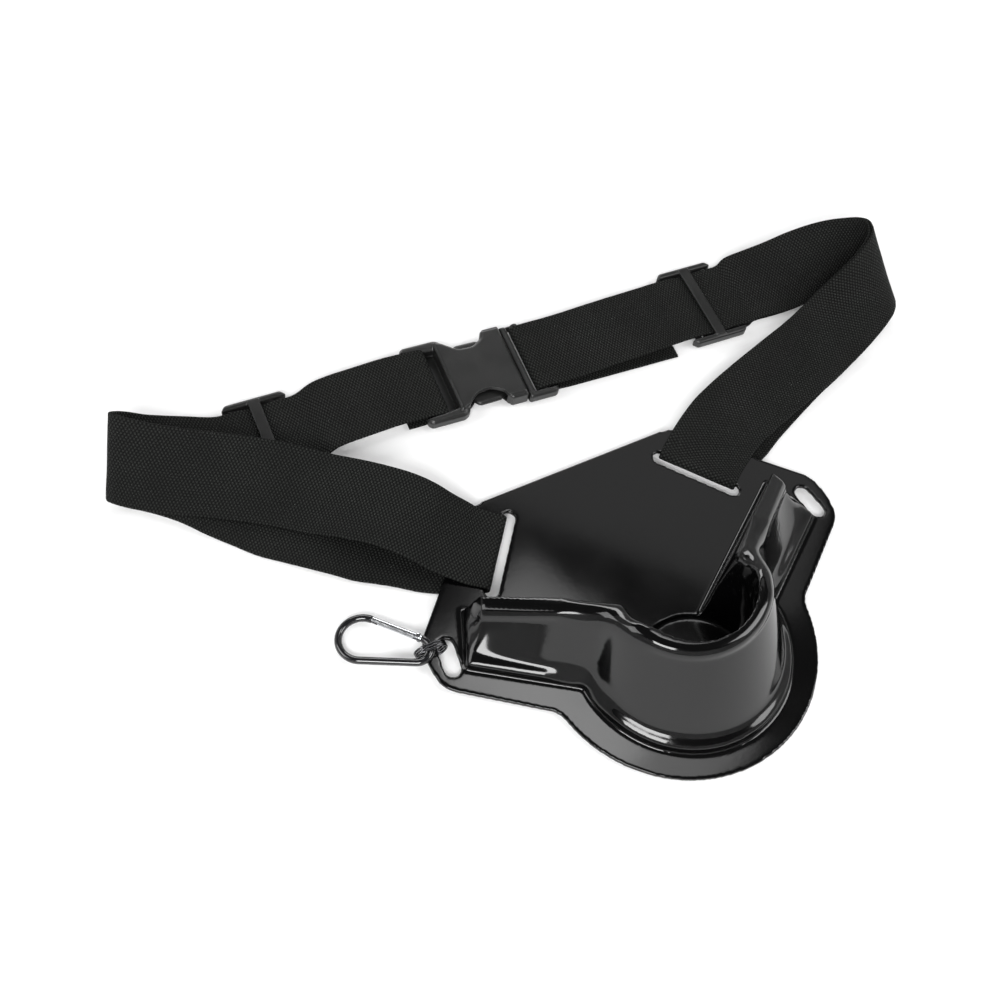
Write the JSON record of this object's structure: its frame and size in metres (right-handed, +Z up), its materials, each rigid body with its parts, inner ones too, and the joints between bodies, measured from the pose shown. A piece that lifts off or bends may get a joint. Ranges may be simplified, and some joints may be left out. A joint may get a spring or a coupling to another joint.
{
  "type": "fishing fighting belt",
  "caption": "Moulded waist plate with a slanted cup for a rod's butt, worn on a webbing belt that closes with a side-release buckle, with a small snap hook on one ear.",
  "frame": {"origin": "middle of the bottom of the belt's box, on the plane that it lies on", "axes": "+X across the plate, towards the wearer's left as the belt lies with its front up, +Y from the plate's round lobe to the back of the belt, +Z up, out of the plate's front"},
  "size_m": [0.5272, 0.3368, 0.0623],
  "materials": {
    "plate_plastic": "glossy moulded plastic with faint orange peel",
    "webbing": "ribbed woven webbing",
    "fittings_plastic": "satin moulded plastic",
    "steel": "bright steel wire",
    "black_steel": "gloss black coating on steel"
  },
  "bodies": {
    "belt": {"waist_plate": "plate_plastic", "webbing_left": "webbing", "webbing_right": "webbing", "tri_glide_left": "fittings_plastic", "tri_glide_right": "fittings_plastic", "buckle_socket": "fittings_plastic", "buckle_prongs": "fittings_plastic", "split_ring": "steel", "snap_hook": "black_steel", "gate_pin": "steel"},
    "gate": {"hook_gate": "steel"}
  },
  "joints": [
    {"name": "gate_hinge", "type": "hinge", "parent": "belt", "child": "gate", "pos_m": [-0.13838, -0.02553, 0.0083], "axis": [-0.1019, 0.087, 0.991], "range_deg": [0, 22], "stiffness_Nm_per_rad": 0.02, "springref_deg": -8.59}
  ]
}
